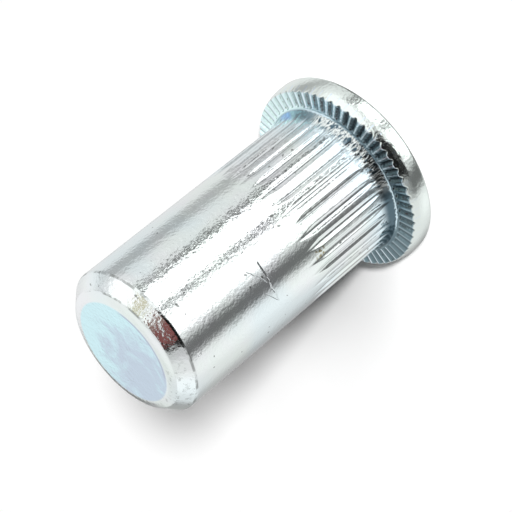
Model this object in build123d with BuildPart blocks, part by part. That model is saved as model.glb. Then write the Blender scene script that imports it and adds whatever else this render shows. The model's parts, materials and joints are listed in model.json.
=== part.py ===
from build123d import *
import os
from math import radians, sqrt, tan

# Closed-end rivet nut, M6, small flat head, ribbed shank, cold formed from steel in one piece.
# Millimetres. The axis is Z, z = 0 is the open face of the head, and the closed end is up.

# Shank and head
SHANK_R = 4.475           # goes through a 9 mm hole
LENGTH = 18.27            # head face to closed end
HEAD_R = 5.925
HEAD_EDGE = 0.20          # small bevel between the open face and the rim
CROWN_START_Z = 0.45      # above this the rim leans in, in one convex arc

# Ring of locking teeth under the head, a shallow cone that falls outwards
RING_OUTER_R = 5.72
RING_OUTER_Z = 1.41
RING_INNER_R = 4.67
RING_INNER_Z = 1.50
NECK_TOP_Z = 2.44         # the neck's flare ends here, tangent to the shank
TEETH_COUNT = 60
TEETH_TURN = 4            # degrees from a groove to the next gap between two teeth
TOOTH_GAP_START_R = 4.74
TOOTH_GAP_FULL_R = 4.86
TOOTH_GAP_DEPTH = 0.14
TOOTH_GAP_FLANK = 48      # degrees, half the angle of the V
TOOTH_GAP_END_R = 6.05    # in the air, outside the rim

# Axial grooves in the shank, with a rib left between each two
GROOVE_COUNT = 36
GROOVE_NEAR_TIP_Z = 1.80  # pointed end in the neck
GROOVE_NEAR_FULL_Z = 3.20
GROOVE_FAR_FULL_Z = 7.00
GROOVE_FAR_TIP_Z = 8.35   # pointed end in the plain shank
GROOVE_NEAR_DEPTH = 0.10
GROOVE_FAR_DEPTH = 0.11
GROOVE_FLANK = 67         # degrees, half the angle of the V

# Closed end: a chamfer, a rounded band and a flat disc
CHAMFER_START_Z = 17.32
CHAMFER_END_R = 3.77
CHAMFER_END_Z = 18.08
BAND_END_R = 3.15
BAND_BULGE = 0.035        # how far the band stands out from a straight bevel

# Bore: entry chamfer, plain counterbore that collapses when set, then the M6 tapping bore
THREAD_MINOR_R = 2.50
COUNTERBORE_R = 3.30
ENTRY_CHAMFER = 0.30
SHOULDER_Z = 8.90
THREAD_START_Z = 9.50     # the shoulder between the two bores is a cone
THREAD_END_Z = 15.60
DRILL_POINT = 118         # degrees, whole angle of the blind end

ABOVE = 0.03              # how far a cutter's V goes on past the surface it leaves
CUTTER_ABOVE = 0.10       # how far a cutter stands out of the metal at full depth


def neck_radius(z):
    """Radius of the neck's flare, an arc from the ring's inner edge, tangent to the shank."""
    rise = NECK_TOP_Z - RING_INNER_Z
    spread = RING_INNER_R - SHANK_R
    flare = (rise**2 + spread**2) / (2 * spread)
    return SHANK_R + flare - sqrt(flare**2 - (NECK_TOP_Z - z) ** 2)


def v_section(path, height, half_angle, across):
    """A V square to the path, its point on the path's start. Across is its own x direction."""
    half_width = height * tan(radians(half_angle))
    with BuildSketch(Plane(origin=path @ 0, x_dir=across, z_dir=path % 0)) as section:
        with BuildLine():
            Polyline((0, 0), (half_width, -height), (-half_width, -height), close=True)
        make_face()
    return section.sketch


# Cutter of one axial groove: its point comes in along the neck, runs on and rises straight out
with BuildLine(Plane.XZ) as groove_path:
    groove_floor = Line(
        (SHANK_R - GROOVE_NEAR_DEPTH, GROOVE_NEAR_FULL_Z),
        (SHANK_R - GROOVE_FAR_DEPTH, GROOVE_FAR_FULL_Z),
    )
    near_tip = (neck_radius(GROOVE_NEAR_TIP_Z) + ABOVE, GROOVE_NEAR_TIP_Z)
    TangentArc(groove_floor @ 0, near_tip, tangent=groove_floor % 0 * -1)
    run_out = (GROOVE_FAR_TIP_Z - GROOVE_FAR_FULL_Z) * (1 + ABOVE / GROOVE_FAR_DEPTH)
    Line(groove_floor @ 1, (SHANK_R + ABOVE, GROOVE_FAR_FULL_Z + run_out))

with BuildPart() as groove_cutter:
    groove_wire = groove_path.wire()
    groove_v = v_section(groove_wire, GROOVE_FAR_DEPTH + CUTTER_ABOVE, GROOVE_FLANK, (0, 1, 0))
    sweep(sections=groove_v, path=groove_wire, transition=Transition.RIGHT)

# Cutter of one gap between two locking teeth: in at the lip by the neck, out through the rim
ring_fall = (RING_INNER_Z - RING_OUTER_Z) / (RING_OUTER_R - RING_INNER_R)


def ring_height(r):
    """Height of the ring's cone at a radius."""
    return RING_INNER_Z - (r - RING_INNER_R) * ring_fall


with BuildLine(Plane.XZ) as gap_path:
    Polyline(
        (TOOTH_GAP_START_R, ring_height(TOOTH_GAP_START_R) + ABOVE),
        (TOOTH_GAP_FULL_R, ring_height(TOOTH_GAP_FULL_R) - TOOTH_GAP_DEPTH),
        (TOOTH_GAP_END_R, ring_height(TOOTH_GAP_END_R) - TOOTH_GAP_DEPTH),
    )

with BuildPart() as gap_cutter:
    gap_wire = gap_path.wire()
    gap_v = v_section(gap_wire, TOOTH_GAP_DEPTH + CUTTER_ABOVE, TOOTH_GAP_FLANK, (0, -1, 0))
    sweep(sections=gap_v, path=gap_wire, transition=Transition.RIGHT)

with BuildPart() as rivet_nut:
    # Outside: turned profile from the open face round the head, up the shank to the closed end
    with BuildSketch(Plane.XZ):
        with BuildLine():
            Polyline((0, 0), (HEAD_R - HEAD_EDGE, 0), (HEAD_R, HEAD_EDGE))
            land = Line((HEAD_R, HEAD_EDGE), (HEAD_R, CROWN_START_Z))
            crown = TangentArc(land @ 1, (RING_OUTER_R, RING_OUTER_Z), tangent=land % 1)
            ring = Line(crown @ 1, (RING_INNER_R, RING_INNER_Z))
            shank = Line((SHANK_R, NECK_TOP_Z), (SHANK_R, CHAMFER_START_Z))
            TangentArc(shank @ 0, ring @ 1, tangent=shank % 0 * -1)
            bevel = Line(shank @ 1, (CHAMFER_END_R, CHAMFER_END_Z))
            band = SagittaArc(bevel @ 1, (BAND_END_R, LENGTH), BAND_BULGE)
            Polyline(band @ 1, (0, LENGTH), (0, 0))
        make_face()
    revolve(axis=Axis.Z)

    # Inside: counterbore from the open face, shoulder, tapping bore and its drilled end
    with BuildSketch(Plane.XZ):
        with BuildLine():
            Polyline(
                (0, 0),
                (COUNTERBORE_R + ENTRY_CHAMFER, 0),
                (COUNTERBORE_R, ENTRY_CHAMFER),
                (COUNTERBORE_R, SHOULDER_Z),
                (THREAD_MINOR_R, THREAD_START_Z),
                (THREAD_MINOR_R, THREAD_END_Z),
                (0, THREAD_END_Z + THREAD_MINOR_R / tan(radians(DRILL_POINT / 2))),
                close=True,
            )
        make_face()
    revolve(axis=Axis.Z, mode=Mode.SUBTRACT)

    with PolarLocations(0, GROOVE_COUNT):
        add(groove_cutter.part, mode=Mode.SUBTRACT)
    with PolarLocations(0, TEETH_COUNT, start_angle=TEETH_TURN):
        add(gap_cutter.part, mode=Mode.SUBTRACT)

rivet_nut.part.label = "rivet_nut"

os.makedirs("parts", exist_ok=True)
export_step(rivet_nut.part, "parts/rivet_nut.step")
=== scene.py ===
"""Looks of a closed-end rivet nut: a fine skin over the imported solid, bright zinc plating, studio."""
import json
from math import cos, pi, radians, sin, sqrt, tan
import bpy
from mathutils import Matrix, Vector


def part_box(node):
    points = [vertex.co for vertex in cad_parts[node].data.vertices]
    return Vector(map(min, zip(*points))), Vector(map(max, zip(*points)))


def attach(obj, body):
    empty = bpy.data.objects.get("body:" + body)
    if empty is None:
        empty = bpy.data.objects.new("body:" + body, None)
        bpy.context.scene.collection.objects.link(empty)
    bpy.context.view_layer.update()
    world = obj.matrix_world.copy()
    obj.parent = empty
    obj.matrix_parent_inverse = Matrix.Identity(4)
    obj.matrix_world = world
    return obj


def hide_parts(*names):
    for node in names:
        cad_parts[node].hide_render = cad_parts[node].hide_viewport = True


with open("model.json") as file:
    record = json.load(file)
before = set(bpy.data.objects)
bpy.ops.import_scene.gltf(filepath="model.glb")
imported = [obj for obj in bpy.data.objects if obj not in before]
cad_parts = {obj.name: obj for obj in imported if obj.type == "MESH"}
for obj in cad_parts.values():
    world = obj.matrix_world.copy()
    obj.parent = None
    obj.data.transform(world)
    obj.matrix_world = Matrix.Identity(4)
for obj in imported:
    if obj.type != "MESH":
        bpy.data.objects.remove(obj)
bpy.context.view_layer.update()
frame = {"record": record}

from types import SimpleNamespace

import bpy
import numpy as np
from mathutils import Matrix, Vector

NODE = "rivet_nut"
MM = 0.001                    # every size below is in millimetres

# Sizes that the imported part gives
mounts = {mount["name"]: mount for mount in frame["record"]["mounts"]}
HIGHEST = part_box(NODE)[1]
HEAD_R = HIGHEST.x / MM
LENGTH = HIGHEST.z / MM
SHANK_R = mounts["shank"]["dims"]["r_mm"]
COUNTERBORE_R = mounts["counterbore"]["dims"]["r_mm"]
THREAD_MINOR_R = mounts["thread"]["dims"]["r_mm"]
THREAD_LENGTH = mounts["thread"]["dims"]["length_mm"]
THREAD_MIDDLE_Z = mounts["thread"]["pos_m"][2] / MM

# Head, ring of teeth and neck. A pair is a point (radius, height) of the turned section
HEAD_EDGE = 0.20              # size of a rounding, as are the others named so
CROWN_START_Z = 0.45
RING_OUTER = (5.72, 1.41)
RING_EDGE = 0.06
RING_INNER = (4.67, 1.50)
NECK_FOOT = 0.07
NECK_TOP_Z = 2.44

# Gaps between the locking teeth
TEETH_COUNT = 60
TEETH_TURN = 4                # degrees from a groove to the next gap
GAP_START_R = 4.74
GAP_FULL_R = 4.86
GAP_DEPTH = 0.14
GAP_FLANK = 48                # degrees, half the angle of the V
GAP_BOTTOM = 0.03             # rounding of its point
GAP_SHOULDER = 0.02           # and of its edges

# Axial grooves of the shank
GROOVE_COUNT = 36
GROOVE_NEAR_TIP_Z = 1.80
GROOVE_NEAR_FULL_Z = 3.20
GROOVE_FAR_FULL_Z = 7.00
GROOVE_FAR_TIP_Z = 8.35
GROOVE_WIDTH = 0.52           # at full depth, as in the solid
GROOVE_NEAR_DEPTH = 0.085     # less deep than the solid's V, because the bottom is rounded here
GROOVE_FAR_DEPTH = 0.095
GROOVE_BOTTOM = 0.35          # size of that rounding
GROOVE_SHOULDER = 0.008
NEAR_TAPER = 1.3              # powers by which the depth fades out towards the two tips
FAR_TAPER = 1.4
PAST_TIP = 1.5                # the taper is followed to this share of its length
ABOVE = 0.03                  # a V's point leaves the surface by this much at its ends

# Lines along which shade is painted in the cuts' bottoms and the crests are painted pale, as half
# widths across a cut
GROOVE_LINE = 0.03
GAP_LINE = 0.07
CREST_LINE = 0.05
LINE_FULL_DEPTH = 0.06        # a cut this deep has the whole line

# Closed end
CHAMFER_START_Z = 17.32
CHAMFER_START_EDGE = 0.09
CHAMFER_END = (3.77, 18.08)
CHAMFER_END_EDGE = 0.045
BAND_END_R = 3.15
BAND_EDGE = 0.03
BAND_BULGE = 0.035

# Bore and thread
ENTRY_CHAMFER = 0.30
MOUTH_R = COUNTERBORE_R + ENTRY_CHAMFER
MOUTH_EDGE = 0.04
ENTRY_EDGE = 0.05
SHOULDER_Z = 8.90
SHOULDER_EDGE = 0.06
THREAD_START_Z = THREAD_MIDDLE_Z - THREAD_LENGTH / 2
THREAD_END_Z = THREAD_MIDDLE_Z + THREAD_LENGTH / 2
THREAD_PITCH = 1.0
THREAD_MAJOR_R = 3.0
THREAD_FADE = 0.5             # the thread runs out over this length at both ends
DRILL_POINT = 118
DRILL_TIP_Z = THREAD_END_Z + THREAD_MINOR_R / tan(radians(DRILL_POINT / 2))

# Vertices round the axis
FINE = 1080                   # 30 to a groove, 18 to a tooth
COARSE = 270
BORE = 90
THREAD_STEPS = 12             # stations to a pitch

# Where stations lie along the section, closer together where a cut starts or ends
FACE_INSET = (0.06, 0.03)     # from the mouth's edge and from the head's
CROWN_COARSE_END_Z = 0.86
CROWN_FINE_Z = (0.92, 1.31)
RING_STATIONS = (5.50, 5.30, 5.10, 4.96, 4.90, 4.865, 4.835, 4.805, 4.775)
NECK_STATIONS_Z = 1.62
GROOVE_NEAR_STATIONS_Z = 2.54
GROOVE_MIDDLE_Z = (3.8, 6.85)
GROOVE_FAR_STATIONS_Z = 8.60
PLAIN_SHANK_Z = (8.9, 17.1)
BEVEL_INSET = (-0.02, 0.025)  # along the chamfer, from its roundings
DISC_STATIONS = (3.09, 2.2, 1.2, 0.4)
TIP_INSET = (0.2, -0.12)      # along the drilled cone, from its tip
CONE_INSET = (-0.06, 0.036)   # and from its wide end
COUNTERBORE_Z = (8.7, 0.5)
THREAD_INSET = 0.08           # above the ledge where the thread starts

rng = np.random.default_rng(7)


# ---------------------------------------------------------------- the turned section

def straight(start, end, steps):
    """Stations on a straight run, with both ends."""
    return [tuple(p) for p in np.linspace(start, end, steps + 1)]


def soft_corner(before, corner, after, size, steps=4):
    """Stations of a small rounding, a quadratic curve that leaves each run size before the corner."""
    before, corner, after = (np.array(p, float) for p in (before, corner, after))
    start = corner + (before - corner) * size / np.linalg.norm(before - corner)
    end = corner + (after - corner) * size / np.linalg.norm(after - corner)
    t = np.linspace(0, 1, steps + 1)[:, None]
    curve = (1 - t) ** 2 * start + 2 * t * (1 - t) * corner + t**2 * end
    return [tuple(p) for p in curve]


def crown_radius(z):
    """The rim's convex arc, upright where it starts and through the ring's outer edge."""
    spread = HEAD_R - RING_OUTER[0]
    rise = RING_OUTER[1] - CROWN_START_Z
    arc = (rise**2 + spread**2) / (2 * spread)
    return HEAD_R - arc + sqrt(arc**2 - (z - CROWN_START_Z) ** 2)


def neck_radius(z):
    """The neck's flare, an arc from the ring's inner edge that ends tangent to the shank."""
    rise = NECK_TOP_Z - RING_INNER[1]
    spread = RING_INNER[0] - SHANK_R
    arc = (rise**2 + spread**2) / (2 * spread)
    return SHANK_R + arc - sqrt(arc**2 - (NECK_TOP_Z - min(z, NECK_TOP_Z)) ** 2)


def ring_height(r):
    """The ring's shallow cone, which falls outwards."""
    fall = (RING_INNER[1] - RING_OUTER[1]) / (RING_OUTER[0] - RING_INNER[0])
    return RING_INNER[1] - (r - RING_INNER[0]) * fall


def band_points(steps):
    """The rounded band between the chamfer and the flat disc, bulging out from a straight bevel."""
    start, end = np.array(CHAMFER_END), np.array((BAND_END_R, LENGTH))
    along = end - start
    out = np.array((along[1], -along[0])) / np.linalg.norm(along)
    t = np.linspace(0, 1, steps + 1)[:, None]
    return [tuple(p) for p in start + t * along + 4 * t * (1 - t) * BAND_BULGE * out]


def head_stations():
    """Open face and lower rim, coarse, from the bore's mouth outwards and up."""
    mouth = (MOUTH_R, 0)
    foot, side = (HEAD_R, 0), (HEAD_R, CROWN_START_Z)
    edge = soft_corner(mouth, foot, side, HEAD_EDGE, 8)
    face = straight((MOUTH_R + FACE_INSET[0], 0), (edge[0][0] - FACE_INSET[1], 0), 2)
    crown = [(crown_radius(z), z) for z in np.linspace(CROWN_START_Z, CROWN_COARSE_END_Z, 4)]
    return face + edge + crown


def toothed_stations():
    """Upper rim, ring and corner of the neck, fine."""
    below, beside, above = 1.25, 5.0, 1.6           # on the rim, the ring and the neck
    on_ring = (beside, ring_height(beside))
    crown = [(crown_radius(z), z) for z in np.linspace(*CROWN_FINE_Z, 9)]
    edge = soft_corner((crown_radius(below), below), RING_OUTER, on_ring, RING_EDGE, 5)
    ring = [(r, ring_height(r)) for r in RING_STATIONS]
    corner = soft_corner(on_ring, RING_INNER, (neck_radius(above), above), NECK_FOOT, 4)
    return crown + edge + ring + corner


def grooved_stations():
    """Neck and grooved length of the shank, fine."""
    neck = [(neck_radius(z), z) for z in np.linspace(NECK_STATIONS_Z, NECK_TOP_Z, 9)]
    heights = [*np.linspace(GROOVE_NEAR_STATIONS_Z, GROOVE_NEAR_FULL_Z, 6)]
    heights += [*np.linspace(*GROOVE_MIDDLE_Z, 4)]
    heights += [*np.linspace(GROOVE_FAR_FULL_Z, GROOVE_FAR_STATIONS_Z, 15)]
    return neck + [(SHANK_R, z) for z in heights]


def closed_end_stations():
    """Plain shank, chamfer, rounded band and flat disc, coarse."""
    shoulder, rim = (SHANK_R, CHAMFER_START_Z), (BAND_END_R, LENGTH)
    band = band_points(8)
    shank = [(SHANK_R, z) for z in np.linspace(*PLAIN_SHANK_Z, 5)]
    first = soft_corner(shank[-1], shoulder, CHAMFER_END, CHAMFER_START_EDGE)
    second = soft_corner(shoulder, CHAMFER_END, band[1], CHAMFER_END_EDGE)
    third = soft_corner(band[-2], rim, (0, LENGTH), BAND_EDGE)
    bevel = straight(np.add(first[-1], BEVEL_INSET), np.subtract(second[0], BEVEL_INSET), 2)
    disc = [(r, LENGTH) for r in DISC_STATIONS]
    return shank + first + bevel + second + band[1:-1] + third + disc


def bore_stations():
    """Blind bore in two runs: its drilled end, and from the thread's end down to the mouth."""
    tip, wide_end = (0, DRILL_TIP_Z), (THREAD_MINOR_R, THREAD_END_Z)
    cone = straight(np.add(tip, TIP_INSET), np.add(wide_end, CONE_INSET), 4)
    ledge = (THREAD_MINOR_R, THREAD_START_Z)
    shelf = (COUNTERBORE_R, SHOULDER_Z)
    wall = (COUNTERBORE_R, ENTRY_CHAMFER)
    mouth = (MOUTH_R, 0)
    rest = soft_corner(wide_end, ledge, shelf, SHOULDER_EDGE)
    rest += soft_corner(ledge, shelf, wall, SHOULDER_EDGE)
    rest += [(COUNTERBORE_R, z) for z in np.linspace(*COUNTERBORE_Z, 4)]
    rest += soft_corner(shelf, wall, mouth, ENTRY_EDGE)
    rest += soft_corner(wall, mouth, (HEAD_R, 0), MOUTH_EDGE)
    return cone, rest


# ---------------------------------------------------------------- what is cut into it

def rounded(across, size):
    """Distance from a middle line, rounded where it turns."""
    return np.sqrt(across**2 + size**2) - size


def lower_of(first, second, soft):
    """The lower of two values, with a rounding where they cross."""
    return 0.5 * (first + second - np.sqrt((first - second) ** 2 + soft**2))


def scooped(across, depth):
    """How deep a groove is at a distance across from its middle: round below, sharper at its sides."""
    full_rise = rounded(GROOVE_WIDTH / 2, GROOVE_BOTTOM)
    rise = rounded(across, GROOVE_BOTTOM) / full_rise * GROOVE_FAR_DEPTH
    return -lower_of(rise - depth, 0, GROOVE_SHOULDER)


def line_mark(across, width, depth):
    """1 along a line, 0 away from it and where the cut has no depth."""
    return np.exp(-((across / width) ** 2)) * np.clip(depth / LINE_FULL_DEPTH, 0, 1)


def nearest(phi, count, shift):
    """For each angle, the number of the nearest of count features and the angle from it."""
    number = np.rint(phi / (2 * pi / count)).astype(int) % count
    offset = phi - number * (2 * pi / count) - shift[number]
    return number, (offset + pi) % (2 * pi) - pi


def groove_set():
    """Small differences between the grooves, as forming leaves them."""
    return {
        "shift": rng.uniform(-0.005, 0.005, GROOVE_COUNT),
        "near": GROOVE_NEAR_TIP_Z + rng.uniform(-0.06, 0.10, GROOVE_COUNT),
        "far": GROOVE_FAR_TIP_Z + rng.uniform(-0.22, 0.08, GROOVE_COUNT),
        "depth": rng.uniform(0.90, 1.04, GROOVE_COUNT),
    }


def groove_depth(z, grooves, number):
    """Depth of the numbered grooves at one height, fading out in a point at both ends."""
    share = np.clip((z - GROOVE_NEAR_FULL_Z) / (GROOVE_FAR_FULL_Z - GROOVE_NEAR_FULL_Z), 0, 1)
    full = GROOVE_NEAR_DEPTH + (GROOVE_FAR_DEPTH - GROOVE_NEAR_DEPTH) * share
    full = full * grooves["depth"][number]
    near, far = grooves["near"][number], grooves["far"][number]
    near_share = np.clip((GROOVE_NEAR_FULL_Z - z) / (GROOVE_NEAR_FULL_Z - near), 0, PAST_TIP)
    far_share = np.clip((z - GROOVE_FAR_FULL_Z) / (far - GROOVE_FAR_FULL_Z), 0, PAST_TIP)
    left = np.clip(1 - far_share, 0, 1) ** FAR_TAPER
    return full * (left - near_share**NEAR_TAPER - np.clip(far_share - 1, 0, 1))


def grooved(phi, r, z, grooves):
    """Radius at one height with the grooves cut, and a mark: 1 at their bottoms."""
    number, angle = nearest(phi, GROOVE_COUNT, grooves["shift"])
    depth = groove_depth(z, grooves, number)
    across = angle * r
    return r - scooped(across, depth), line_mark(across, GROOVE_LINE, depth)


def gap_set():
    """Small differences between the gaps of the locking teeth."""
    return {
        "shift": rng.uniform(-0.004, 0.004, TEETH_COUNT),
        "depth": rng.uniform(0.92, 1.10, TEETH_COUNT),
        "start": rng.uniform(-0.03, 0.02, TEETH_COUNT),
    }


def toothed(phi, r, z, gaps):
    """Height at one radius with the teeth's gaps cut, and a mark: 1 at their bottoms, -1 on crests."""
    number, angle = nearest(phi - radians(TEETH_TURN), TEETH_COUNT, gaps["shift"])
    start = GAP_START_R + gaps["start"][number]
    share = np.clip((r - start) / (GAP_FULL_R - GAP_START_R), -0.5, 1)
    bottom = ring_height(r) + ABOVE - share * (GAP_DEPTH * gaps["depth"][number] + ABOVE)
    across = angle * r
    flank = bottom + rounded(across, GAP_BOTTOM) / tan(radians(GAP_FLANK))
    from_crest = (pi / TEETH_COUNT - np.abs(angle)) * r
    bottoms = line_mark(across, GAP_LINE, z - bottom)
    crests = line_mark(from_crest, CREST_LINE, ring_height(r) - bottom)
    return lower_of(z, flank, GAP_SHOULDER), bottoms - crests


def threaded(phi, z):
    """Radius of the M6 thread's wall: a right-hand helix, its V flattened at root and crest."""
    turn = (z / THREAD_PITCH - phi / (2 * pi)) % 1
    from_root = np.abs(turn - 0.5) * THREAD_PITCH
    root, crest = THREAD_PITCH / 16, THREAD_PITCH * 3 / 8
    share = np.clip((crest - from_root) / (crest - root), 0, 1)
    ends = np.clip((z - THREAD_START_Z) / THREAD_FADE, 0, 1)
    ends *= np.clip((THREAD_END_Z - z) / THREAD_FADE, 0, 1)
    return THREAD_MINOR_R + (THREAD_MAJOR_R - THREAD_MINOR_R) * share * ends


# ---------------------------------------------------------------- the skin

def ring_of(count, r, z, mark=0.0):
    """One ring of points, each with its mark. Values may be one number for all."""
    phi = np.arange(count) * 2 * pi / count
    r, z, mark = (np.broadcast_to(value, count) for value in (r, z, mark))
    return np.stack([r * np.cos(phi), r * np.sin(phi), z, mark], 1)


def all_rings():
    """Every ring of the outside, from the mouth of the bore round to the closed end."""
    angles = np.arange(FINE) * 2 * pi / FINE
    grooves, gaps = groove_set(), gap_set()
    rings = [ring_of(COARSE, r, z) for r, z in head_stations()]
    rings += [ring_of(FINE, r, *toothed(angles, r, z, gaps)) for r, z in toothed_stations()]
    for r, z in grooved_stations():
        cut_r, mark = grooved(angles, r, z, grooves)
        rings.append(ring_of(FINE, cut_r, z, mark))
    rings += [ring_of(COARSE, r, z) for r, z in closed_end_stations()]
    return rings


def bore_rings():
    """Every ring of the bore, from its drilled end down to the mouth."""
    cone, rest = bore_stations()
    angles = np.arange(BORE) * 2 * pi / BORE
    steps = int(round(THREAD_LENGTH / THREAD_PITCH * THREAD_STEPS))
    heights = np.linspace(THREAD_END_Z, THREAD_START_Z + THREAD_INSET, steps)
    rings = [ring_of(BORE, r, z) for r, z in cone]
    rings += [ring_of(BORE, threaded(angles, z), z) for z in heights]
    rings += [ring_of(BORE, r, z) for r, z in rest]
    return rings


def bridge(first, first_count, second, second_count):
    """Faces between two rings of vertices. One count is a whole multiple of the other."""
    faces = []
    few = min(first_count, second_count)
    a, b = first_count // few, second_count // few
    for i in range(few):
        lower = [first + (i * a + k) % first_count for k in range(a + 1)]
        upper = [second + (i * b + k) % second_count for k in range(b + 1)]
        faces.append(lower + upper[::-1])
    return faces


def fan(tip, ring, count, outward):
    """Triangles from a point on the axis to a ring."""
    faces = [(ring + i, ring + (i + 1) % count, tip) for i in range(count)]
    return faces if outward else [face[::-1] for face in faces]


def skin_faces(rings):
    """Faces between the rings, and those that close the bore's end and the disc's middle."""
    starts = np.cumsum([0] + [len(ring) for ring in rings])
    faces = []
    for i in range(len(rings) - 1):
        faces += bridge(starts[i], len(rings[i]), starts[i + 1], len(rings[i + 1]))
    drilled, top = int(starts[-1]), int(starts[-1]) + 1
    faces += fan(drilled, 0, len(rings[0]), False)
    faces += fan(top, int(starts[-2]), len(rings[-1]), True)
    return [[int(v) for v in face] for face in faces]


def skin_mesh():
    """The whole nut as one closed mesh, in metres, with the marks of its cuts."""
    outside, inside = all_rings(), bore_rings()
    rings = inside + outside
    points = np.concatenate(rings + [[[0, 0, DRILL_TIP_Z, 0], [0, 0, LENGTH, 0]]])
    mesh = bpy.data.meshes.new("nut_skin")
    mesh.from_pydata((points[:, :3] * MM).tolist(), [], skin_faces(rings))
    mesh.polygons.foreach_set("use_smooth", [True] * len(mesh.polygons))
    mesh.attributes.new("cleft", "FLOAT", "POINT").data.foreach_set("value", points[:, 3])
    mesh.update()
    return mesh


# ---------------------------------------------------------------- shader helpers

def add(tree, kind, inputs=None, **settings):
    """A new shader node. Inputs are values or other nodes' sockets, by name or number."""
    node = tree.nodes.new(kind)
    for name, value in settings.items():
        setattr(node, name, value)
    for key, value in (inputs or {}).items():
        if isinstance(value, bpy.types.NodeSocket):
            tree.links.new(value, node.inputs[key])
        else:
            node.inputs[key].default_value = value
    return node


def maths(tree, operation, *values):
    """Result of one maths node."""
    return add(tree, "ShaderNodeMath", dict(enumerate(values)), operation=operation).outputs[0]


def vector_maths(tree, operation, first, second):
    """A vector maths node."""
    return add(tree, "ShaderNodeVectorMath", {0: first, 1: second}, operation=operation)


def product(tree, first, *others):
    """Product of several values."""
    for value in others:
        first = maths(tree, "MULTIPLY", first, value)
    return first


def ramp(tree, value, low, high, to_low=0.0, to_high=1.0):
    """Smooth step of a value from low to high, which may also fall."""
    inputs = dict(enumerate((value, low, high, to_low, to_high)))
    return add(tree, "ShaderNodeMapRange", inputs, interpolation_type="SMOOTHSTEP").outputs[0]


def window(tree, value, low, high, soft):
    """1 between two limits and 0 outside them, with soft edges."""
    return product(tree, ramp(tree, value, low - soft, low), ramp(tree, value, high + soft, high))


def mixed(tree, factor, first, second):
    """Colour mixed from two by a factor."""
    colours = [c if isinstance(c, bpy.types.NodeSocket) else (*c, 1) for c in (first, second)]
    inputs = {0: factor, 6: colours[0], 7: colours[1]}
    return add(tree, "ShaderNodeMix", inputs, data_type="RGBA").outputs[2]


def mixed_value(tree, factor, first, second):
    """Value mixed from two by a factor."""
    return maths(tree, "MULTIPLY_ADD", factor, maths(tree, "SUBTRACT", second, first), first)


def noise(tree, place, scale, detail=2.0, roughness=0.5, distortion=0.0):
    """Value of a noise texture."""
    inputs = {"Vector": place, "Scale": scale, "Detail": detail, "Roughness": roughness}
    inputs["Distortion"] = distortion
    return add(tree, "ShaderNodeTexNoise", inputs).outputs["Fac"]


# ---------------------------------------------------------------- zinc plating

STEEL = (0.86, 0.895, 0.875)          # bare zinc, a little green
GREEN_STEEL = (0.84, 0.91, 0.88)      # and what it drifts between
LAVENDER_STEEL = (0.86, 0.88, 0.90)
BLUE_STEEL = (0.80, 0.89, 0.91)
ROOT_BLUE = (0.76, 0.90, 0.96)        # first part of the grooves
SLATE = (0.19, 0.27, 0.30)            # ring of teeth and neck: the film, painted darkest as shade on the side away from the light
HALF_BLUE = (0.40, 0.55, 0.61)        # the film, painted lighter towards the lit side
PALE_CYAN = (0.76, 0.97, 0.97)        # the film, painted palest as light on the lit side
# NECK_DARK: painted shade on the neck and in its corner with the ring, and the dark of the neck's
# rubbed streaks
NECK_DARK = (0.10, 0.16, 0.20)
LIP_PALE = (0.66, 0.81, 0.88)         # jagged corner between ring and neck: partly thinner film, partly painted highlight
SPOT_BLUE = (0.20, 0.36, 0.75)
# CREST_PALE: pale crests and outer edge of the teeth, partly rubbed film and partly painted highlight
CREST_PALE = (0.78, 0.88, 0.96)
CLEFT_SHADE = (0.03, 0.04, 0.05)       # painted shade in the bottoms of grooves and gaps, and on the teeth
DISC_PALE = (0.66, 0.92, 0.98)        # passivated face of the closed end
DISC_DEEP = (0.58, 0.69, 0.81)
EDGE_LAVENDER = (0.47, 0.50, 0.62)
GRIME = (0.16, 0.17, 0.16)            # in creases and specks
STAIN = (0.28, 0.24, 0.11)

# The colour isn't the same all round, partly because light and shade are painted by side: sides are
# counted in degrees from the one with the marks, which faces the camera
MARKED_SIDE = -92.0                   # degrees from +X
LIT_SIDE_TURN = 112                  # from there to the side painted as lit, where the blue film is painted palest

# Where tones and marks lie, in millimetres for a radius (R) or height (Z) and degrees for a side.
# A pair is the start and end of a soft step, and a third and fourth number are its two values.
# In a band, the first two numbers are its limits and the third is how soft its edges are.
# A step named for the film's side is of the cosine of the angle from the side where the film is painted
# palest, as light, with shade painted opposite.

# The film's extent: behind the rim, and fading out above the neck
BEHIND_RIM_R = (5.76, 5.68)
BEHIND_RIM_Z = (1.0, 1.1)
FILM_END_Z = (2.6, 1.9)
ROOT_BLUE_Z = (4.6, 1.9)

# Bare steel
DRIFT_STEP = (0.35, 0.65)
GREEN_HEAD_R = (4.6, 4.8)             # the head's steel is the green one
BLUER_STEP = (0.46, 0.62)
BLUER_R = (4.8, 4.6)

# Film on the ring and neck, painted lighter on the lit side and darker as shade opposite
SLATE_LIT = (-0.67, -0.29)
PALE_CYAN_LIT = (0.40, 0.85)
PALE_CYAN_R = (4.66, 4.76)
NECK_R = (4.68, 4.62)
# the neck is painted darker, as shade, on the side away from the light
NECK_SHADE_LIT = (-0.1, -0.6, 0.35, 0.8)
RUBBED_BAND = (-24.0, 42.0, 9.0)      # side where the neck has lost much of its film
RUBBED_Z_BAND = (1.55, 2.3, 0.4)
RUBBED_SHARE = 0.85
STREAK_STEP = (0.5, 0.58)

# Corner between ring and neck: a dark line of painted shade, and a pale jagged lip that is partly
# thinner film and partly painted highlight
DARK_LINE_R_BAND = (4.67, 4.78, 0.03)
DARK_LINE_BAND = (-10.0, 32.0, 8.0)
DARK_LINE_STEP = (-66.0, -78.0)
DARK_LINE_SHARE = 0.5
LIP_R_BAND = (4.74, 4.78, 0.02)
LIP_BAND = (-60.0, -16.0, 10.0)
LIP_SECOND_BAND = (38.0, 56.0, 8.0)
LIP_JAGS = 0.16                       # how far the lip's line wanders

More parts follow.
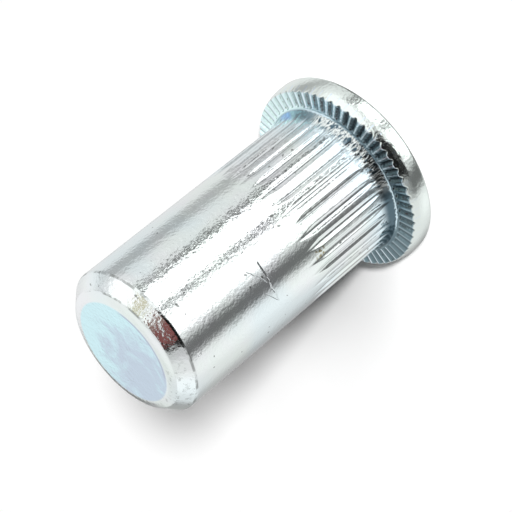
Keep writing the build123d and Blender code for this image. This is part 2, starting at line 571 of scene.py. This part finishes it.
# Blue spot on the neck
SPOT_SLOPE = 16.0                     # degrees to a millimetre of height
SPOT_BAND = (104.0, 112.0, 5.0)       # of the side plus that slope
SPOT_Z_BAND = (1.6, 2.2, 0.2)
SPOT_SHARE = 0.75

# Disc of the closed end
DISC_Z = (18.20, 18.26)
DISC_R = (3.24, 3.10)
DISC_LEAN = 90.0                      # the pale tone grows along +X by this to a metre
DISC_RIM_LIFT = (1.4, 3.1, -0.08, 0.10)
DISC_STEP = (0.32, 0.70)
DISC_EDGE_R_BAND = (3.04, 3.16, 0.05)
DISC_EDGE_BAND = (-45.0, 25.0, 15.0)
DISC_EDGE_SHARE = 0.8

# Teeth and the bottoms of all cuts, with painted shade and, partly, painted highlight
SHADED_BAND = (-24.0, 20.0, 12.0)     # teeth painted with shade on their flanks on these sides
SHADED_R = (4.66, 4.80)
SHADED_SHARE = 0.45
# pale crests: partly rubbed film, partly painted highlight, stronger on most sides
CREST_MARK = (-0.1, -0.9)
CREST_SIDE = (-30.0, -12.0, 0.22, 0.85)
# Outer edge of the ring: pale, partly rubbed film and partly painted highlight on the sides in its band
WORN_LIT_EDGE_R_BAND = (5.67, 5.72, 0.02)
WORN_LIT_EDGE_BAND = (-34.0, 12.0, 6.0)
WORN_LIT_EDGE_SHARE = 0.6
BOTTOM_SHADE_SIDE = 4.0               # the painted shade in the bottoms of the cuts is darkest here
BOTTOM_SHADE_STEP = (16.0, 34.0, 0.97, 0.55)

# Stain, creases, specks and the closed end's grime
STAIN_BAND = (-38.0, -32.5, 2.0)
STAIN_Z_BAND = (7.05, 7.5, 0.25)
STAIN_STEP = (0.47, 0.56)
STAIN_SHARE = 0.85
OUTER_CREASE_Z_BAND = (17.28, 17.36, 0.05)
INNER_CREASE_R_BAND = (3.74, 3.79, 0.04)
INNER_CREASE_Z = (17.9, 18.0)
INNER_CREASE_BAND = (-15.0, 65.0, 20.0)
CREASE_STEP = (0.42, 0.60)
CREASE_SHARE = 0.65
SPECK_STEP = (0.74, 0.78)
SPECK_Z_BAND = (3.0, 17.9, 0.3)
SPECK_SHARE = 0.8
END_GRIME_STEP = (0.52, 0.66)
END_GRIME_Z_BAND = (17.45, 18.22, 0.05)
END_GRIME_SIDE = (-20.0, -50.0, 0.0, 0.4)

# Noise textures: scale to a metre, detail, roughness and distortion
STREAKS = (8500, 2, 0.5)
STREAK_STRETCH = (1, 1, 0.22)
LIP_NOISE = (4500, 2)
DISC_CLOUDS = (420, 4, 0.65, 1.4)
DRIFT_CLOUDS = (260, 3, 0.6)
BLUER_CLOUDS = (170, 2)
STAIN_GRAIN = (5200, 2, 0.6)
CREASE_PATCHES = (1500, 3, 0.6)
SPECKS = (2600, 1)
END_GRAIN = (3800, 4, 0.7)
FINE_GRAIN = (5200, 2, 0.55)
SWELL = (1500, 2, 0.5)
DULL_CLOUDS = (700, 4, 0.6)
SCRATCH_WANDER = (1100, 2)

# Relief and gloss
GRAIN_RELIEF = 0.018
DENT_RELIEF = 0.02
CRUMPLED_GAIN = 2.6                   # more grain where the neck is rubbed
RELIEF_LIT = (-0.85, -0.35, 0.45, 1.0)
ROUGHNESS = (0.35, 0.7, 0.08, 0.14)
WANDER = 0.35                         # how far the scratches wander
SCRATCH_END = 3.0                     # they fade out over so many degrees
SCRATCHES = (  # first side, last side, height at side 0, rise to a degree, half width
    (-42, -12, 11.10, 0.004, 0.055),
    (-24, -13, 12.55, 0.055, 0.045),
    (-41, -35, 12.9, 0.045, 0.04),
)
PIT_BAND = (-35.6, -34.4, 0.8)        # one pit near the chamfer
PIT_Z_BAND = (16.66, 16.74, 0.1)


def measures(tree):
    """Measures of a point on the nut, and masks of the zones that several tones share."""
    at = SimpleNamespace()
    at.place = add(tree, "ShaderNodeTexCoord").outputs["Object"]
    at.x, y, z = add(tree, "ShaderNodeSeparateXYZ", {0: at.place}).outputs
    across = maths(tree, "ADD", product(tree, at.x, at.x), product(tree, y, y))
    at.radius = maths(tree, "DIVIDE", maths(tree, "SQRT", across), MM)
    at.height = maths(tree, "DIVIDE", z, MM)
    angle = maths(tree, "ARCTAN2", y, at.x)
    at.side = maths(tree, "MULTIPLY_ADD", angle, 180 / pi, -MARKED_SIDE)
    # The film's pale and dark sides are painted light and shade, set by this angle from the side
    # painted as lit
    from_lit = maths(tree, "SUBTRACT", angle, radians(MARKED_SIDE + LIT_SIDE_TURN))
    at.thin_side = maths(tree, "COSINE", from_lit)
    rim_inside = ramp(tree, at.radius, *BEHIND_RIM_R)
    at.behind_rim = product(tree, rim_inside, ramp(tree, at.height, *BEHIND_RIM_Z))
    at.filmed = product(tree, at.behind_rim, ramp(tree, at.height, *FILM_END_Z))
    at.neck = ramp(tree, at.radius, *NECK_R)
    at.rubbed = window(tree, at.side, *RUBBED_BAND)
    stretched = vector_maths(tree, "MULTIPLY", at.place, STREAK_STRETCH).outputs[0]
    at.streaks = noise(tree, stretched, *STREAKS)
    return at


def steel_tone(tree, at):
    """Bare zinc that drifts between green, lavender and blue, bluer where the grooves start."""
    drift = ramp(tree, noise(tree, at.place, *DRIFT_CLOUDS), *DRIFT_STEP)
    drift = maths(tree, "MAXIMUM", drift, ramp(tree, at.radius, *GREEN_HEAD_R))
    tone = mixed(tree, drift, LAVENDER_STEEL, GREEN_STEEL)
    bluer = ramp(tree, noise(tree, at.place, *BLUER_CLOUDS), *BLUER_STEP)
    bluer = product(tree, bluer, ramp(tree, at.radius, *BLUER_R))
    tone = mixed(tree, bluer, tone, BLUE_STEEL)
    near_head = product(tree, ramp(tree, at.height, *ROOT_BLUE_Z), at.behind_rim)
    return mixed(tree, near_head, tone, ROOT_BLUE)


def film_tone(tree, at):
    """The blue film of the ring and neck, painted pale as light on one side and dark as shade on the
    other, rubbed in streaks.
    """
    # Painted light and shade: the film's tone is paler towards the lit side and slate away from it
    lit_pale = ramp(tree, at.thin_side, *PALE_CYAN_LIT)
    lit_pale = product(tree, lit_pale, ramp(tree, at.radius, *PALE_CYAN_R))
    tone = mixed(tree, ramp(tree, at.thin_side, *SLATE_LIT), SLATE, HALF_BLUE)
    tone = mixed(tree, lit_pale, tone, PALE_CYAN)
    # Painted shade: the neck darker on the side away from the light
    shade = product(tree, at.neck, ramp(tree, at.thin_side, *NECK_SHADE_LIT))
    tone = mixed(tree, shade, tone, NECK_DARK)
    tone = mixed(tree, product(tree, at.neck, at.rubbed, RUBBED_SHARE), tone, STEEL)
    streaked = product(tree, at.neck, at.rubbed, ramp(tree, at.streaks, *STREAK_STEP))
    return mixed(tree, streaked, tone, NECK_DARK)


def lip(tree, at, tone):
    """The corner between ring and neck: a dark line of painted shade and a pale jagged lip, partly
    thinner film and partly painted highlight, over the film's tone.
    """
    # Painted shade: a dark line in the corner between ring and neck, on some sides
    sides = window(tree, at.side, *DARK_LINE_BAND)
    sides = maths(tree, "ADD", sides, ramp(tree, at.side, *DARK_LINE_STEP))
    line = product(tree, window(tree, at.radius, *DARK_LINE_R_BAND), sides, DARK_LINE_SHARE)
    tone = mixed(tree, line, tone, NECK_DARK)
    # Partly painted highlight: a pale jagged lip on two sides of the corner, over thinner film
    jagged = noise(tree, at.place, *LIP_NOISE)
    jagged = maths(tree, "MULTIPLY_ADD", jagged, LIP_JAGS, at.radius)
    sides = window(tree, at.side, *LIP_BAND)
    sides = maths(tree, "ADD", sides, window(tree, at.side, *LIP_SECOND_BAND))
    pale = product(tree, window(tree, jagged, *LIP_R_BAND), at.behind_rim, sides)
    return mixed(tree, pale, tone, LIP_PALE)


def blue_spot(tree, at, tone):
    """One saturated blue spot on the neck, slanting, over the film's tone."""
    slanted = maths(tree, "MULTIPLY_ADD", at.height, SPOT_SLOPE, at.side)
    spot = product(tree, window(tree, slanted, *SPOT_BAND), window(tree, at.height, *SPOT_Z_BAND))
    return mixed(tree, product(tree, spot, at.neck, SPOT_SHARE), tone, SPOT_BLUE)


def end_disc(tree, at, colour):
    """The closed end's cloudy blue disc over the other colours, deeper in its middle."""
    leaning = noise(tree, at.place, *DISC_CLOUDS)
    leaning = maths(tree, "MULTIPLY_ADD", at.x, DISC_LEAN, leaning)
    leaning = maths(tree, "ADD", leaning, ramp(tree, at.radius, *DISC_RIM_LIFT))
    tone = mixed(tree, ramp(tree, leaning, *DISC_STEP), DISC_DEEP, DISC_PALE)
    edge = window(tree, at.radius, *DISC_EDGE_R_BAND)
    edge = product(tree, edge, window(tree, at.side, *DISC_EDGE_BAND), DISC_EDGE_SHARE)
    tone = mixed(tree, edge, tone, EDGE_LAVENDER)
    disc = product(tree, ramp(tree, at.height, *DISC_Z), ramp(tree, at.radius, *DISC_R))
    return mixed(tree, disc, colour, tone)


def cut_tones(tree, at, colour):
    """Pale crests and outer edge of the teeth, partly rubbed film and partly painted highlight, and
    painted shade on the teeth, in their gaps and in the grooves.
    """
    cut_mark = add(tree, "ShaderNodeAttribute", attribute_name="cleft").outputs["Fac"]
    # Painted shade: the teeth darker on the sides in this band
    shaded = product(tree, window(tree, at.side, *SHADED_BAND), at.filmed)
    shaded = product(tree, shaded, ramp(tree, at.radius, *SHADED_R), SHADED_SHARE)
    colour = mixed(tree, shaded, colour, CLEFT_SHADE)
    # Partly painted highlight: pale crests of the teeth, over partly rubbed film
    crest = product(tree, ramp(tree, cut_mark, *CREST_MARK), ramp(tree, at.side, *CREST_SIDE))
    colour = mixed(tree, crest, colour, CREST_PALE)
    # Partly painted highlight: the ring's outer edge pale on some sides, over partly rubbed film
    worn_lit_edge = window(tree, at.radius, *WORN_LIT_EDGE_R_BAND)
    worn_lit_edge = product(tree, worn_lit_edge, window(tree, at.side, *WORN_LIT_EDGE_BAND), at.filmed, WORN_LIT_EDGE_SHARE)
    colour = mixed(tree, worn_lit_edge, colour, CREST_PALE)
    # Painted shade: the bottoms of the gaps and grooves darkened, most on one side
    away = maths(tree, "ABSOLUTE", maths(tree, "SUBTRACT", at.side, BOTTOM_SHADE_SIDE))
    bottoms = product(tree, maths(tree, "MAXIMUM", cut_mark, 0.0), ramp(tree, away, *BOTTOM_SHADE_STEP))
    return mixed(tree, bottoms, colour, CLEFT_SHADE)


def stain(tree, at, colour):
    """One brown stain where a groove ends."""
    spots = ramp(tree, noise(tree, at.place, *STAIN_GRAIN), *STAIN_STEP)
    where = product(tree, window(tree, at.side, *STAIN_BAND), window(tree, at.height, *STAIN_Z_BAND))
    return mixed(tree, product(tree, where, spots, STAIN_SHARE), colour, STAIN)


def dirt(tree, at, colour):
    """Grime in patches of the chamfer's two edges, in specks, and on one side of the closed end."""
    outer = window(tree, at.height, *OUTER_CREASE_Z_BAND)
    inner = product(
        tree,
        window(tree, at.radius, *INNER_CREASE_R_BAND),
        ramp(tree, at.height, *INNER_CREASE_Z),
        window(tree, at.side, *INNER_CREASE_BAND),
    )
    patches = ramp(tree, noise(tree, at.place, *CREASE_PATCHES), *CREASE_STEP)
    creases = product(tree, maths(tree, "ADD", outer, inner), patches, CREASE_SHARE)
    specks = ramp(tree, noise(tree, at.place, *SPECKS), *SPECK_STEP)
    specks = product(tree, specks, window(tree, at.height, *SPECK_Z_BAND), SPECK_SHARE)
    end = ramp(tree, noise(tree, at.place, *END_GRAIN), *END_GRIME_STEP)
    end = product(tree, end, window(tree, at.height, *END_GRIME_Z_BAND))
    end = product(tree, end, ramp(tree, at.side, *END_GRIME_SIDE))
    everything = maths(tree, "MAXIMUM", maths(tree, "MAXIMUM", creases, specks), end)
    return mixed(tree, everything, colour, GRIME)


def scratch(tree, side, height, start, end, level, rise, half_width):
    """1 along a thin line round the shank, from one side to another."""
    line = maths(tree, "MULTIPLY_ADD", side, rise, level)
    away = maths(tree, "ABSOLUTE", maths(tree, "SUBTRACT", height, line))
    along = window(tree, side, start, end, SCRATCH_END)
    return product(tree, along, ramp(tree, away, half_width, 0.0))


def dents(tree, at):
    """Three scratches that wander a little, and a pit near the chamfer."""
    wander = noise(tree, at.place, *SCRATCH_WANDER)
    wander = maths(tree, "MULTIPLY_ADD", wander, WANDER, -WANDER / 2)
    height = maths(tree, "ADD", at.height, wander)
    depth = scratch(tree, at.side, height, *SCRATCHES[0])
    for line in SCRATCHES[1:]:
        depth = maths(tree, "ADD", depth, scratch(tree, at.side, height, *line))
    pit = product(tree, window(tree, at.side, *PIT_BAND), window(tree, at.height, *PIT_Z_BAND))
    return maths(tree, "MAXIMUM", depth, pit)


def bumped(tree, height, strength, distance, under=None, invert=False):
    """Normal of a surface with a relief, which can lie over another relief's normal."""
    inputs = {"Height": height, "Strength": strength, "Distance": distance * MM}
    if under:
        inputs["Normal"] = under
    return add(tree, "ShaderNodeBump", inputs, invert=invert).outputs[0]


def relief(tree, at):
    """Normal of the plated surface: fine grain, a broad swell and the dents."""
    strength = ramp(tree, at.thin_side, *RELIEF_LIT)
    crumpled = product(tree, at.rubbed, window(tree, at.height, *RUBBED_Z_BAND))
    grain = mixed_value(tree, crumpled, noise(tree, at.place, *FINE_GRAIN), at.streaks)
    grain = product(tree, grain, maths(tree, "MULTIPLY_ADD", crumpled, CRUMPLED_GAIN, 1.0))
    fine = bumped(tree, grain, strength, GRAIN_RELIEF)
    broad = bumped(tree, noise(tree, at.place, *SWELL), strength, GRAIN_RELIEF, under=fine)
    return bumped(tree, dents(tree, at), 1.0, DENT_RELIEF, under=broad, invert=True)


def plating():
    """Bright zinc: blue where the passivation is thick, with light and shade painted into the film, the
    teeth and the cuts, finely grained, with a few handling marks.
    """
    material = bpy.data.materials.new("zinc_plating")
    material.use_nodes = True
    tree = material.node_tree
    shader = tree.nodes["Principled BSDF"]
    at = measures(tree)
    film = blue_spot(tree, at, lip(tree, at, film_tone(tree, at)))
    colour = mixed(tree, at.filmed, steel_tone(tree, at), film)
    for layer in (end_disc, cut_tones, stain, dirt):
        colour = layer(tree, at, colour)
    roughness = ramp(tree, noise(tree, at.place, *DULL_CLOUDS), *ROUGHNESS)
    tree.links.new(colour, shader.inputs["Base Color"])
    tree.links.new(roughness, shader.inputs["Roughness"])
    tree.links.new(relief(tree, at), shader.inputs["Normal"])
    shader.inputs["Metallic"].default_value = 1.0
    return material


# ---------------------------------------------------------------- studio

CAMERA_AZIMUTH = MARKED_SIDE          # the marks face the camera
CAMERA_HEIGHT = 29.14                 # degrees above the plane square to the axis
CAMERA_ROLL = -129.4                  # the closed end points down to the left
CAMERA_DISTANCE = 115.2
CAMERA_LENS = 148.0
CAMERA_SEES = (10, 5000)              # nearest and farthest
AIM_ASIDE = -0.526                    # from the axis, square to the view
AIM_Z = 8.44

# What the metal mirrors: (azimuth from the camera, elevation, half width, half height, softness,
# roll, brightness or colour), in degrees. Later ones lie over earlier ones.
STUDIO_BASE = 0.84
MAROON = (0.24, 0.085, 0.08)
BROWN = (0.30, 0.20, 0.18)
BEIGE = (0.66, 0.62, 0.47)
STUDIO = (
    # The shank's far edges, and the outline of the head and of the closed end
    (-160, -34, 20, 14, 20, 0, 0.34),
    (30, -79, 40, 25, 5, 0, 0.10),
    (-176, 2, 8, 12, 6, 0, 0.22),
    (-156, -8, 15, 14, 8, 0, 0.42),
    # The closed end's band and disc, and two panels in its chamfer
    (150, 25, 24, 25, 10, 0, 0.97),
    (180, 68, 30, 14, 10, 0, 0.97),
    (180, 30, 9, 4, 4, 0, 0.98),
    (-115, 28, 14, 12, 8, 0, 1.08),
    (87, 44, 14, 12, 6, 0, 1.35),
    # The flanks of neck and shank, the shank's two bright stripes and a dark line beside each
    (112, -4, 8, 26, 7, 0, 0.42),
    (-90, -32, 12, 8, 12, 0, 1.06),
    (103, -26, 8, 24, 9, 0, 0.46),
    (-12, -34, 15, 26, 5, 0, 1.55),
    (30, -34, 17, 26, 4, 0, 1.60),
    (12, -34, 2.6, 13, 1.5, 0, 0.05),
    (53, -34, 4.2, 14, 1.5, 0, 0.18),
    # The head's rim and the teeth: a bright panel, dark blocks and a thin dark line
    (45, 12, 34, 32, 8, 0, 1.15),
    (36, -14, 26, 1.1, 0.8, -21, 0.05),
    (-56, -6, 12, 14, 8, 0, 0.36),
    (-19, 28, 28, 34, 4, 0, 0.012),
    (-25, -11, 22, 6, 2, 0, 0.03),
    (2, -5, 14, 3, 2, 0, 0.03),
    # The shank's dark stripe
    (-54, -28, 12, 20, 8, 0, 0.17),
    # The chamfer: a grey patch, coloured ones, a bright one and a dark seam
    (-66, 47, 6, 8, 5, 0, 0.62),
    (-20, 53, 13, 7, 3, 0, MAROON),
    (6, 55, 6, 8, 2, 0, BROWN),
    (40, 55, 14, 10, 1.5, 0, 1.25),
    (47, 51, 6.5, 9, 1.5, 0, BEIGE),
    (29, 54, 0.8, 9, 0.6, 0, 0.06),
)

AMBIENT = 0.05                        # share of the floor's light that comes from all round
LAMPS = (  # name, azimuth from the camera, elevation, width in degrees, share of the floor's light
    ("low", 5.0, 24, 5.4, 0.55),
    ("middle", 9, 33, 8, 0.13),
    ("high", 20, 48, 14, 0.16),
    ("top", 30, 60, 14, 0.11),
)
FLOOR_HALF = 600
FLOOR_WHITE = (0.8,) * 3
SEEN_WHITE = (1.02,) * 3              # where the camera sees it without a shadow


def towards(azimuth, elevation):
    """Direction in the row frame, its azimuth counted from the camera's, anticlockwise from above."""
    turn = radians(CAMERA_AZIMUTH + azimuth)
    rise = radians(elevation)
    return Vector((cos(turn) * cos(rise), sin(turn) * cos(rise), sin(rise)))


def dot(tree, first, second):
    """Dot product of two directions."""
    return vector_maths(tree, "DOT_PRODUCT", first, second).outputs["Value"]


def patch(tree, direction, azimuth, elevation, half_width, half_height, softness, roll):
    """1 inside a soft-edged patch of the surroundings, 0 outside it."""
    centre = towards(azimuth, elevation)
    side = Vector((0, 0, 1)).cross(centre).normalized()
    up = centre.cross(side)
    turn = Matrix.Rotation(radians(roll), 3, centre)
    across = maths(tree, "ARCTAN2", dot(tree, direction, turn @ side), dot(tree, direction, centre))
    along = maths(tree, "ARCSINE", dot(tree, direction, turn @ up))
    masks = []
    for angle, half in ((across, half_width), (along, half_height)):
        size = maths(tree, "ABSOLUTE", angle)
        masks.append(ramp(tree, size, radians(half + softness), radians(half - softness)))
    return maths(tree, "MULTIPLY", *masks)


def surroundings():
    """The studio as the metal mirrors it; white to the camera and even to the floor."""
    world = bpy.data.worlds.new("studio")
    bpy.context.scene.world = world
    world.use_nodes = True
    tree = world.node_tree
    direction = add(tree, "ShaderNodeTexCoord").outputs["Generated"]
    shade = (STUDIO_BASE,) * 3
    for *where, tone in STUDIO:
        colour = tone if isinstance(tone, tuple) else (tone,) * 3
        shade = mixed(tree, patch(tree, direction, *where), shade, colour)
    path = add(tree, "ShaderNodeLightPath")
    seen = mixed(tree, path.outputs["Is Glossy Ray"], (AMBIENT,) * 3, shade)
    seen = mixed(tree, path.outputs["Is Camera Ray"], seen, (1.0,) * 3)
    tree.links.new(seen, tree.nodes["Background"].inputs["Color"])


def sun(name, azimuth, elevation, spread, share):
    """A far lamp, spread degrees wide, that gives the floor a share of its light."""
    light = bpy.data.lights.new(name, "SUN")
    light.angle = radians(spread)
    light.energy = share * pi / sin(radians(elevation))
    body = bpy.data.objects.new(name, light)
    body.rotation_euler = towards(azimuth, elevation).to_track_quat("Z", "Y").to_euler()
    body.visible_glossy = False
    bpy.context.scene.collection.objects.link(body)


def floor_white():
    """Plain diffuse white, a little brighter to the camera than it lights the nut."""
    material = bpy.data.materials.new("floor_white")
    material.use_nodes = True
    tree = material.node_tree
    tree.nodes.remove(tree.nodes["Principled BSDF"])
    path = add(tree, "ShaderNodeLightPath")
    colour = mixed(tree, path.outputs["Is Camera Ray"], FLOOR_WHITE, SEEN_WHITE)
    diffuse = add(tree, "ShaderNodeBsdfDiffuse", {"Color": colour})
    tree.links.new(diffuse.outputs[0], tree.nodes["Material Output"].inputs["Surface"])
    return material


def floor():
    """A plain white floor that keeps the nut's soft shadow."""
    half = FLOOR_HALF * MM
    mesh = bpy.data.meshes.new("floor")
    corners = [(-half, -half, 0), (half, -half, 0), (half, half, 0), (-half, half, 0)]
    mesh.from_pydata(corners, [], [(0, 1, 2, 3)])
    body = bpy.data.objects.new("floor", mesh)
    bpy.context.scene.collection.objects.link(body)
    body.data.materials.append(floor_white())
    body.visible_glossy = False


def camera():
    """The photograph's view: from above the closed end, rolled so that the nut lies across it."""
    scene = bpy.context.scene
    data = bpy.data.cameras.new("camera")
    data.lens = CAMERA_LENS
    data.clip_start, data.clip_end = (limit * MM for limit in CAMERA_SEES)
    body = bpy.data.objects.new("camera", data)
    back = towards(0, CAMERA_HEIGHT)
    level = Vector((0, 0, 1)).cross(back).normalized()
    upright = Matrix((level, back.cross(level), back)).transposed()
    spin = Matrix.Rotation(radians(CAMERA_ROLL), 3, "Z")
    aim = level * AIM_ASIDE + Vector((0, 0, AIM_Z))
    place = (aim + back * CAMERA_DISTANCE) * MM
    body.matrix_world = Matrix.Translation(place) @ (upright @ spin).to_4x4()
    scene.collection.objects.link(body)
    scene.camera = body


# ---------------------------------------------------------------- the scene

nut = bpy.data.objects.new("rivet_nut_skin", skin_mesh())
bpy.context.scene.collection.objects.link(nut)
nut.data.materials.append(plating())
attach(nut, "root")
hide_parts(NODE)

floor()
surroundings()
for lamp in LAMPS:
    sun(*lamp)
camera()
bpy.context.scene.view_settings.view_transform = "Standard"
